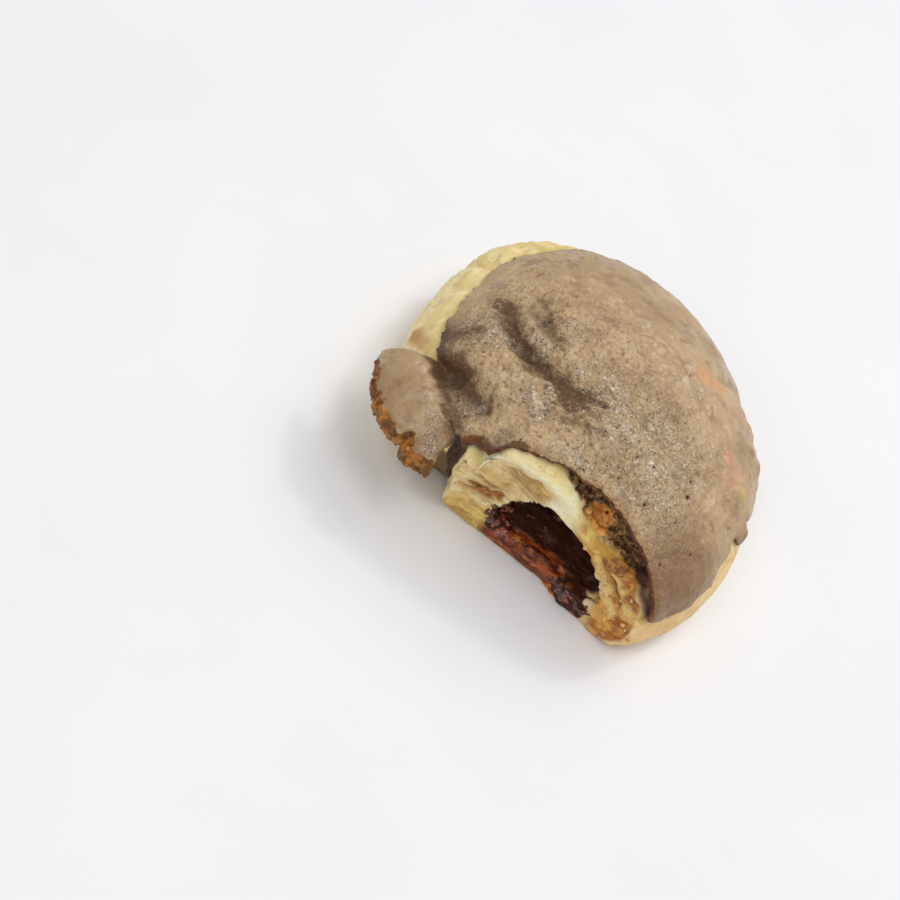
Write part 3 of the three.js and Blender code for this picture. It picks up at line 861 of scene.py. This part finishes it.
CREASES = [  # path in plan, lift, width
    ([(-31.5, -1), (-29.5, -8.5), (-26, -13.5)], 0.9, 3),
    ([(-23, -17.5), (-15.5, -18.5), (-8, -20.5)], 0.8, 3.2),
    ([(-21.4, -5.9), (-19.2, -7.6), (-17, -8.6)], 1.1, 1.6),
    ([(-17.1, -20.3), (-13.2, -21.9), (-10.8, -23.1)], 0.7, 1.5),
    ([(-13.6, -15.8), (-11.4, -17.2), (-9.3, -18.6)], 0.7, 1.2),
    ([(-8.2, -8.2), (-5, -6.4), (-2.1, -4.7)], 0.6, 1.8),
    ([(-18.5, -1), (-12, -8), (-4, -8.5)], 0.5, 2.6),
    ([(-2, -15), (6, -13)], 0.5, 2.2),
    ([(-33.5, -14.5), (-29.5, -17.5), (-25.5, -21), (-21.5, -23.5)], 1.2, 2.4),
    ([(-32.2, -3.2), (-30.5, -8), (-27.7, -12), (-24, -14)], 0.6, 2),
    ([(-24.4, -0.3), (-21.3, -1.7), (-18.7, -3.3)], -0.7, 1.6),
    ([(-22.5, -2.5), (-20, -5.2), (-17.8, -7)], -0.6, 1.4),
    ([(11.8, 13.4), (14.4, 13.4)], -0.5, 0.7),
    ([(19, 23.1), (21, 26), (23.1, 28.5)], -0.6, 1),
    ([(-8.5, -16.7), (-6.5, -18.2), (-4.4, -17.8)], -0.7, 1.3),
    ([(-18.6, -6.8), (-16.8, -10.2)], 0.7, 1.5),
    ([(-15.4, -17.6), (-14.2, -21.2)], 0.6, 1.8),
    ([(21.9, 8.3), (25.3, 10.4)], -0.5, 1.3),
]
PINHOLES = [  # x, y, size
    (0.1, -11.5, 0.55), (25.8, -10.4, 0.55), (27.1, -14, 0.5), (16.9, -15.3, 0.5),
    (35.4, -21.7, 0.4), (12.4, -16.7, 0.35), (20, -23.7, 0.4), (28.2, -20.5, 0.35),
    (11.9, -23.6, 0.3), (30.9, -29, 0.3), (8.9, -0.6, 0.3), (-22.1, 16, 0.4), (-19.8, 11.6, 0.35),
    (-21.4, 0.5, 0.4), (-24, -6.2, 0.35), (-28, -16.1, 0.3), (-10.3, -29.9, 0.35),
    (-34.2, -11.2, 0.3), (-7.7, 6.2, 0.3), (39.8, -7.8, 0.3),
]


# The deep folds press the crust, and the dough under it, in towards the middle of the waist.
def folded_in(points):
    x, y, z = points.T
    return strongest(DEEP_FOLDS, x, y) * ramp(z, 22.5, 24.5)


def pressed(points):
    inwards = np.array((0, 0, WAIST_HEIGHT)) - points
    return points + inwards / np.linalg.norm(inwards, axis=1)[:, None] * folded_in(points)[:, None]


dough = points_of(bread)
place_points(bread, np.where((outside_skin(dough) > -PRESSED_DEPTH)[:, None], pressed(dough), dough))
folded = folded_in(points)
shake_x, shake_y = 0.7 * ground(points, 2.2, 90), 0.7 * ground(points, 2.2, 91)
creased = ridges(CREASES, x + shake_x, y + shake_y)
hole_unrest = 0.1 * ground(points, 0.7, 92)
holes = on_top * sum(hill(np.hypot(x - at_x, y - at_y) + hole_unrest, 0, size)
                     for at_x, at_y, size in PINHOLES)
pulled_side = ramp(x, -12, 6) * ramp(-y, -12, 2)
above_edge = z - baked_edge_height(angle)
calm = ramp(above_edge, 0.4, 3.0) + on_flap * (1 - ramp(above_edge, 0.4, 3.0))
leathery = 1 - 2 * np.abs(rough_ground(points, 4.6, 3, 25))
lift = 0.25 * ground(points, 9, 1) + 0.25 * rough_ground(points, 4, 2, 2) * calm + creased * on_top
lift = lift + 0.5 * (0.1 + 0.9 * wrinkled) * leathery * calm
lift = lift + (0.06 + 0.14 * wrinkled) * rough_ground(points, 1.5, 3, 6) * calm
lift = lift + 0.2 * pulled_side * rough_ground(points, 1.2, 2, 7, stretch=(2.4, 1, 1)) * calm
lift = lift - 0.22 * ramp(rough_ground(points, 1.2, 2, 8), 0.4, 0.8) * calm - 0.9 * holes
lift = lift + 0.8 * broken * rough_ground(points, 2.2, 3, 60)
lift = lift + 0.35 * near_tear * rough_ground(points, 1.4, 2, 64)
lift = lift + 0.7 * angle_hill(angle, 86, 20) * band(z, 20, 27, 34, 38)
lift = lift - 0.8 * angle_hill(angle, 47, 4) * band(z, 24, 27, 33, 36)
lift = lift + 0.9 * angle_hill(angle, 23, 6) * hill(z, 27, 5) + 0.9 * round_mark(x - 37.3, y - 0.8, 2.2)
lift = lift + 0.4 * rough_ground(points, 5, 2, 97) * ramp(x, 22, 30)
place_points(crust, pressed(points + normals_of(crust) * (lift * top_side)[:, None]))

uneven = 6 * rough_ground(points, 9, 3, 98)
grainy = 1 - 0.85 * ramp(y + 0.25 * x + uneven, -2, 22)
grainy = grainy * (1 - 0.9 * ramp(x + 0.6 * uneven + 0.5 * y, 14, 36)) * (1 - 0.35 * on_flap)

# Where shade is painted into the crust's colour, and where painted sheen and sugary grain brighten it.
SHADED = [  # path in plan, strength, width
    ([(-30.2, -1.7), (-26.4, -5.8), (-23, -9.2), (-20.1, -10.6), (-16, -12.3), (-12.9, -12.6)], 1, 3),
    ([(-12.9, -12.6), (-9.8, -14), (-5.6, -13.8), (-1.3, -11.6)], 1, 2.4),
    ([(-11, -17), (-7.5, -17.4), (-3, -15.4)], 0.95, 2.4),
    ([(-9, -21.5), (-3.4, -19.7), (1.4, -18.5)], 0.6, 3.2), ([(-3, -14), (1.5, -14.5)], 0.5, 2.4),
    ([(-38.5, -12), (-34.5, -13.5), (-34, -10.2)], 0.9, 3),
    ([(-36.5, -16), (-30.6, -21.4), (-26.6, -23.4)], 1, 2.5),
    ([(-26.6, -23.4), (-22.6, -24.8), (-20, -26.6)], 0.7, 1.4),
    ([(-24.8, 5.6), (-19.4, -2.6), (-16, -6.9)], 0.6, 2.4),
    ([(-26.8, -29.6), (-24.8, -31.4), (-21.5, -34.4), (-19, -36.6)], 1, 2.2),
    ([(-35.2, -21.2), (-30.7, -25), (-26.6, -28), (-23.5, -30.6)], 0.75, 1.7),
]
SUGARED = [  # path in plan, strength, width
    ([(-33.4, -5.7), (-29.2, -9.9), (-25.5, -13.8)], 0.8, 2.6), ([(-21, -6.3), (-17.2, -8.5)], 1, 1.7),
    ([(-17.1, -20.3), (-13.2, -21.9), (-10.8, -23.1)], 1, 1.9), ([(-8, -7.9), (-2.1, -4.7)], 0.9, 2.4),
    ([(-1.5, -27.3), (5.7, -26.6)], 0.9, 2.8), ([(-13.2, -16), (-9.5, -18.6)], 1, 1.4),
    ([(-15.3, 1.5), (-12.8, 1.8)], 0.6, 2), ([(-25.8, -26.6), (-23.2, -27.6), (-21, -29)], 1, 1.6),
    ([(-37, -3.6), (-35, -4.3)], 0.6, 1.7), ([(2, -9), (10, -7.8), (19.4, -8)], 0.75, 7),
    ([(9, -22), (15.9, -20.4), (24.8, -22.3)], 0.6, 4.5), ([(6, -15.5), (14, -14), (21, -15)], 1, 4.5),
]


def zones(table, unrest, size, seed):
    moved_x = x + unrest * rough_ground(points, size, 3, seed)
    moved_y = y + unrest * rough_ground(points, size, 3, seed + 4)
    return strongest(table, moved_x, moved_y) * on_top * (1 - 0.8 * on_flap)


sugar_breaks = 0.35 + 0.65 * ramp(rough_ground(points, 5, 3, 120), -0.4, 0.3)
flap_sugar = stroke([(-29.7, -29.7), (-27.1, -34.7), (-23.8, -38.2)], x, y, 2.0, 0.8 * ground(points, 3, 121))
tongue = (1 - ramp(from_tear, 0.5, 1.4 + 1.2 * hill(x, -13.8, 2.2))) * (1 - ramp(x, -10, -5)) * (x > -23)
in_shadow = (angle_hill(angle, 238, 9) * (1 - ramp(z, 24.5, 27)) * (1 - on_flap)
             + 0.5 * round_mark(x - 44.5, y + 2.6, 3.5) * (1 - ramp(z, 27, 29)))
beside_tear = (1 - ramp(from_tear, 0.8, 2.0)) * ramp(x, -24, -20) * (1 - on_flap)
mottled = 0.8 * rough_ground(points, 3, 3, 95)
orange_mark = stroke([(14.0, 17.0), (17.7, 18.4), (20.9, 21.0)], x, y, 2.6, 1.4 * mottled)
pink_mark = np.maximum(stroke([(30.0, 3.2), (33.6, 4.4), (32.7, -0.9)], x, y, 2.6, mottled),
                       0.8 * stroke([(25.5, 19.2), (29.8, 20.3)], x, y, 1.8, mottled))
keep_masks(
    crust,
    broken=broken,
    torn_edge=near_tear * (1 - ramp(away, 1.6, 2.1)),
    # Painted shade in the troughs of the folds and creases.
    valley=np.clip(0.45 * folded + np.clip(-0.7 * creased, 0, 1) * on_top, 0, 1) * top_side,
    grainy=grainy * (0.2 + 0.8 * ramp(above_edge, 0, 6)),
    shade=zones(SHADED, 1.5, 4.0, 101),
    # Painted sheen together with sugary grain.
    sugared=zones(SUGARED, 2.6, 5.0, 111) * sugar_breaks + 0.7 * on_flap * flap_sugar,
    well_baked=np.maximum(on_flap * (0.3 + 0.2 * ramp(degrees, 208, 216)), round_mark(x - 37, y + 26, 12)),
    # Painted shade along the crust's baked edge at the left, beside the flap.
    dark_edge=angle_hill(angle, 200, 12) * (1 - ramp(above_edge, 1.5, 6)) * (1 - on_flap),
    tongue=tongue * (1 - on_flap),
    # The pinholes are painted near black, as painted shade inside them.
    hole=holes,
    in_shadow=in_shadow,
    dull=np.maximum(np.maximum(broken, in_shadow), beside_tear),
    under=1 - top_side,
    orange_mark=orange_mark * on_top,
    pink_mark=pink_mark * on_top,
    yellow_mark=hill(np.hypot(x - 37.3, y - 0.8) + mottled, 0, 1.8) * on_top,
    red_rim=round_mark(np.hypot(x - 38.3, y - 15.4), 0.6 * (z - 27.0), 1.7),
)

coffee = Finish("coffee_crust", 0.42, 0.8, coat_roughness=0.24)
tone = coffee.patchy((192, 162, 121), (169, 139, 99), 0.36, 0.64, 14, 3)
browned = coffee.patchy((199, 167, 123), (176, 143, 102), 0.4, 0.62, 9, 4, 0.6, offset=28)
tone = coffee.lay(tone, (browned, "grainy"))
tone = coffee.patchy(tone, (176, 148, 84), 0.52, 0.7, 3.5, 4, 0.6, offset=1, most=0.45)
tone = coffee.patchy(tone, (140, 106, 72), 0.52, 0.68, 4.5, 4, 0.6, offset=6, most=0.6)
tone = coffee.patchy(tone, (214, 190, 158), 0.56, 0.7, 6, 4, 0.6, offset=24, most=0.4)
uneven_shade = coffee.between(coffee.grain(2.6, 4, 0.65, offset=31), 0.3, 0.7, -0.25, 0.25)
shaded = coffee.sum_up(coffee.mask("shade"), "ADD", uneven_shade)
tone = coffee.mix(coffee.between(shaded, 0.15, 0.85, 0, 0.85), tone, (104, 77, 50))
# Painted sheen: these zones are laid pale, partly sugary grain and partly painted sheen.
tone = coffee.lay(tone, ((240, 212, 176), "sugared", 0.1, 1, 0.72))
pits = coffee.between(coffee.grain(1.1, 3, 0.65, offset=2), 0.53, 0.65, 0, 0.62)
tone = coffee.mix(coffee.sum_up(pits, "MULTIPLY", coffee.mask("grainy")), tone, (100, 70, 42))
# The near-white grains are partly sugar and partly painted glints, most of all in the sheen zones.
grains = coffee.between(coffee.grain(1.0, 3, 0.7, offset=4), 0.55, 0.64, 0, 0.9)
bright = coffee.sum_up(coffee.where("grainy", 0, 1, 0.2), "ADD", coffee.mask("sugared"))
tone = coffee.mix(coffee.sum_up(grains, "MULTIPLY", bright), tone, (254, 238, 214))
rust = coffee.patchy((92, 46, 22), (140, 80, 42), 0.42, 0.6, 1.3, 4, 0.6, offset=19)
broken_tone = coffee.patchy((192, 126, 56), (84, 49, 22), 0.38, 0.66, 2.0, 4, 0.65, offset=7)
broken_tone = coffee.patchy(broken_tone, (106, 71, 38), 0.46, 0.62, 3.8, 3, 0.6, offset=26, most=0.85)
tone = coffee.lay(
    tone,
    # The first row darkens the troughs of the folds as painted shade.
    ((80, 56, 34), "valley", 0.1, 1, 0.75),
    # This row is painted shade along the crust's edge beside the flap.
    ((92, 64, 46), "dark_edge", 0.1, 0.9, 0.7),
    ((134, 97, 60), "well_baked", 0.1, 0.9, 0.85),
    ((222, 150, 86), "orange_mark", 0.1, 0.9, 0.55),
    ((212, 146, 112), "pink_mark", 0.1, 0.9, 0.5),
    ((206, 178, 106), "yellow_mark", 0.1, 0.9, 0.6),
    ((176, 92, 56), "red_rim", 0.2, 0.9, 0.7),
    ((84, 50, 32), "tongue", 0.2, 0.9, 0.8),
    (rust, "torn_edge", 0.1, 0.8),
    (broken_tone, "broken", 0.25, 0.65),
    ((96, 62, 40), "under"),
    ((72, 46, 30), "in_shadow", 0.2, 0.9),
    # Painted shade inside the pinholes.
    ((26, 15, 9), "hole", 0.3, 0.8),
)
coffee.set("Base Color", tone)
without_shine = coffee.sum_up(coffee.mask("dull"), "ADD", coffee.mask("shade"))
coffee.set("Specular IOR Level", coffee.between(without_shine, 0, 1, 0.8, 0.2))
coarse = coffee.sum_up(bright, "ADD", coffee.where("grainy", 0, 1, 0.35))
roughened = coffee.between(coarse, 0, 1.2, 0.12, 1.0)
sand = coffee.bump(coffee.grain(0.6, 2, 0.6, offset=9), 1.1, roughened)
sandy = coffee.bump(coffee.grain(1.4, 3, 0.7, offset=12), 1.4, roughened, sand)
coffee.set("Normal", sandy)
coffee.set("Coat Normal", sandy)
coffee.set("Coat Weight", coffee.between(bright, 0.1, 0.9, 0, 0.55))
satin = coffee.between(coffee.grain(5.0, 3, offset=15), 0.35, 0.65, 0.3, 0.46)
coffee.set("Roughness", coffee.sum_up(satin, "SUBTRACT", coffee.between(bright, 0, 1, 0, 0.16)))
wear(crust, coffee)
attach(crust, "root")
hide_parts("coffee_crust")

# The filling: dark chocolate, spooned onto the dough before it was closed, and set again after
# baking. It lies deep in the hollow, and its front is lumpy and glossy where the bun was pulled open.
FILLING_FACE = -18.5
FILLING_GRID = 0.7
CLEAR_OF_FRONT = -60  # y

filling = filling_form("chocolate_filling", 0.0)
x, z = np.meshgrid(np.linspace(-60, 60, 121), np.linspace(-60, 60, 121))
face = FILLING_FACE + 1.2 * wobble(0.28 * x, 0.5 * z)
combine(filling, block_before("in_front", x, face, z, CLEAR_OF_FRONT), "DIFFERENCE")
even_out(filling, FILLING_GRID, 2)
points = points_of(filling)
shown = ramp(-points[:, 1], 13, 17)
swell(filling, points, 0.9 * shown * rough_ground(points, 4.0, 3, 70))

chocolate = Finish("dark_chocolate", 0.2, 0.6, 0.35, 0.06)
patches = chocolate.between(chocolate.grain(3, 3), 0.4, 0.6)
thick = chocolate.mix(patches, (56, 29, 21), (92, 52, 37))
thin = chocolate.mix(patches, (70, 27, 18), (146, 68, 46))
chocolate.set("Base Color", chocolate.lay(thick, (thin, "spread_thin")))
chocolate.set("Normal", chocolate.bump(chocolate.grain(1.2, 3), 0.2, 0.6))
wear(filling, chocolate)
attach(filling, "root")
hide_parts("filling")

# Smears and blobs of the same chocolate, pulled out of the hollow when the bun was torn. They stick
# to the wall of the mouth and to the edge under it, thick and wet at its left end and lower right.
SMEAR_GRID = 0.2
LEAST_BLOB = 30  # faces
LOWEST_SMEAR = 1.2
HOLLOW_FRONT = -14.0
SMEARED = [  # x, height, how far they spread in each, count, least and greatest size
    (-2.6, 8.6, 1.8, 2.2, 34, 0.6, 1.2), (0.6, 5.6, 2.2, 1.0, 20, 0.5, 1.0),
    (18.5, 4.2, 2.4, 1.3, 18, 0.5, 1.1), (22.8, 3.2, 2.2, 1.2, 13, 0.4, 0.9),
    (27.0, 5.0, 1.3, 1.0, 6, 0.3, 0.6), (7.0, 6.4, 3.0, 0.6, 10, 0.3, 0.6),
    (-3.0, 12.0, 0.6, 1.0, 8, 0.35, 0.7), (5.0, 7.2, 2.0, 0.9, 10, 0.3, 0.7),
]

bread_shape = BVHTree.FromObject(bread, bpy.context.evaluated_depsgraph_get())
draw = np.random.default_rng(5)


# The point of the torn front that is seen straight from the front, and which way it faces.
def on_torn_front(x, z):
    hit, normal, _, _ = bread_shape.ray_cast(Vector((x, CLEAR_OF_FRONT, z)) * MM, Vector((0, 1, 0)))
    return np.array(hit) * 1000, np.array(normal)


# Blobs at the spots given, each squashed and turned at random, run together and made lumpy.
def blobs(name, spots, grid, lumpiness, seed):
    lumps = bmesh.new()
    for centre, size, squash in spots:
        turn = Matrix.Rotation(draw.uniform(0, 6.28), 4, Vector(draw.normal(size=3)).normalized())
        shape = Matrix.Translation(Vector(centre) * MM) @ turn @ Matrix.Diagonal((*(size * squash * MM), 1))
        bmesh.ops.create_icosphere(lumps, subdivisions=2, radius=1, matrix=shape)
    mesh = bpy.data.meshes.new(name)
    lumps.to_mesh(mesh)
    lumps.free()
    piece = bpy.data.objects.new(name, mesh)
    bpy.context.scene.collection.objects.link(piece)
    even_out(piece, grid, 2)
    drop_scraps(piece, LEAST_BLOB)
    points = points_of(piece)
    swell(piece, points, lumpiness * rough_ground(points, 1.3, 3, seed))
    return piece


spots = []
for middle_x, middle_z, spread_x, spread_z, count, least, most in SMEARED:
    for _ in range(count):
        at_x, at_z = draw.normal(middle_x, spread_x / 1.4), draw.normal(middle_z, spread_z / 1.4)
        size = draw.uniform(least, most)
        at, out = on_torn_front(at_x, max(at_z, LOWEST_SMEAR))
        squash = draw.uniform(0.6, 1.1, size=3)
        if at[1] < HOLLOW_FRONT:
            spots.append((at - 0.2 * size * out, size, squash))
smears = blobs("chocolate_smears", spots, SMEAR_GRID, 0.14, 80)
keep_masks(smears, spread_thin=np.ones(len(smears.data.vertices)))
wear(smears, chocolate)
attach(smears, "root")

# Loose crumbs: burnt coffee batter that crumbled where the crust broke away from the lip, and
# shreds of dough torn out of the right-hand end. They are stuck where they fell.
CRUMB_GRID = 0.24
LOWEST_CRUMB = 1.5
BURNT = [  # x, height, how far they spread in each, count, least and greatest size
    (1.0, 36.4, 2.0, 0.3, 10, 0.3, 0.6), (5.5, 35.2, 1.8, 0.4, 20, 0.3, 0.8),
    (10.0, 33.0, 1.6, 0.8, 26, 0.4, 1.0), (15.5, 31.5, 1.8, 1.0, 22, 0.4, 1.0),
    (21.0, 28.4, 1.8, 1.0, 26, 0.4, 1.1), (27.0, 26.4, 2.2, 0.6, 14, 0.4, 1.0),
]
SHREDDED = [
    (29.0, 15.5, 2.5, 1.8, 20, 0.25, 0.6), (33.0, 11.0, 2.2, 2.6, 18, 0.25, 0.6),
    (24.0, 21.0, 2.4, 0.9, 14, 0.25, 0.5), (17.5, 21.3, 1.0, 0.5, 7, 0.3, 0.7),
]


# Crumbs that lie further back than the torn front would be, by the distance given.
def strew(name, patches, finish, seed, behind):
    spots = []
    for middle_x, middle_z, spread_x, spread_z, count, least, most in patches:
        for _ in range(count):
            at_x, at_z = draw.normal(middle_x, spread_x), draw.normal(middle_z, spread_z)
            at, _ = on_torn_front(at_x, max(at_z, LOWEST_CRUMB))
            size = draw.uniform(least, most)
            if torn_front(at[0], at[2]) + behind < at[1] < HOLLOW_FRONT:
                spots.append((at, size, draw.uniform(0.55, 1.2, size=3)))
    piece = blobs(name, spots, CRUMB_GRID, 0.3, seed)
    wear(piece, finish)
    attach(piece, "root")
    return piece


burnt = Finish("burnt_batter_crumb", 0.5, 0.5)
burnt.set("Base Color", burnt.patchy((64, 44, 28), (178, 134, 84), 0.42, 0.6, 1.6, 4, 0.6))
burnt.set("Normal", burnt.bump(burnt.grain(0.5, 3), 0.15, 0.8))
strew("burnt_crumbs", BURNT, burnt, 84, 0.9)
shred = Finish("torn_dough_shreds", 0.6, 0.4)
shred.set("Base Color", shred.patchy((236, 202, 126), (200, 144, 66), 0.42, 0.58, 2.0, 4, 0.6))
shred.set("Normal", shred.bump(shred.grain(0.6, 3), 0.15, 0.8))
strew("dough_shreds", SHREDDED, shred, 88, -2.0)

# The setting: a sheet of pale paper as a plain floor, under soft daylight from behind on the right,
# from above and from the front. The camera looks down at the torn front and is rolled to one side.
FLOOR_SIZE = 8
DAYLIGHT = 0.46
LAMPS = [  # name, place, size, power
    ("window", (0.28, 0.60, 0.95), 0.7, 3.3),
    ("window_pane", (0.30, 0.58, 0.95), 0.13, 1.3),
    ("overhead_window", (0.15, -0.12, 1.1), 0.5, 2.6),
    ("room", (-0.25, -0.75, 0.85), 0.5, 1.6),
    ("room_glint", (-0.30, -0.55, 0.95), 0.12, 0.5),
]
CAMERA_ELEVATION = math.radians(50)
CAMERA_ROLL = math.radians(38)
CAMERA_LENS = 85
CAMERA_DISTANCE = 507
BASE_PIXEL = (546.7, 468.0)
FRAME_PIXELS = 900
SENSOR_WIDTH = 36

bpy.ops.mesh.primitive_plane_add(size=FLOOR_SIZE, location=(0, 0, 0))
floor = bpy.context.object
floor.name = "floor"
paper = Finish("pale_floor", 0.9, 0.1)
paper.set("Base Color", paper.patchy((243, 243, 245), (240, 240, 243), 0.3, 0.7, 60, 3))
wear(floor, paper)

world = bpy.context.scene.world or bpy.data.worlds.new("daylight")
bpy.context.scene.world = world
world.use_nodes = True
world.node_tree.nodes["Background"].inputs["Color"].default_value = (1, 1, 1, 1)
world.node_tree.nodes["Background"].inputs["Strength"].default_value = DAYLIGHT

for name, at, size, power in LAMPS:
    lamp = bpy.data.lights.new(name, "AREA")
    lamp.shape = "SQUARE"
    lamp.size = size
    lamp.energy = power
    holder = bpy.data.objects.new(name, lamp)
    bpy.context.scene.collection.objects.link(holder)
    holder.location = at
    holder.rotation_euler = (-Vector(at)).to_track_quat("-Z", "Y").to_euler()

right_level = Vector((1, 0, 0))
up_level = Vector((0, math.sin(CAMERA_ELEVATION), math.cos(CAMERA_ELEVATION)))
ahead = Vector((0, math.cos(CAMERA_ELEVATION), -math.sin(CAMERA_ELEVATION)))
right = math.cos(CAMERA_ROLL) * right_level + math.sin(CAMERA_ROLL) * up_level
up = -math.sin(CAMERA_ROLL) * right_level + math.cos(CAMERA_ROLL) * up_level
focal_pixels = FRAME_PIXELS / SENSOR_WIDTH * CAMERA_LENS
middle = FRAME_PIXELS / 2
spot = (-ahead * CAMERA_DISTANCE - right * (BASE_PIXEL[0] - middle) / focal_pixels * CAMERA_DISTANCE
        + up * (BASE_PIXEL[1] - middle) / focal_pixels * CAMERA_DISTANCE) * MM
camera_data = bpy.data.cameras.new("camera")
camera_data.lens = CAMERA_LENS
camera_data.sensor_width = SENSOR_WIDTH
camera_data.clip_start = 0.05
camera = bpy.data.objects.new("camera", camera_data)
bpy.context.scene.collection.objects.link(camera)
back = -ahead
camera.matrix_world = Matrix([(right.x, up.x, back.x, spot.x), (right.y, up.y, back.y, spot.y),
                              (right.z, up.z, back.z, spot.z), (0, 0, 0, 1)])
bpy.context.scene.camera = camera
bpy.context.scene.view_settings.view_transform = "Standard"
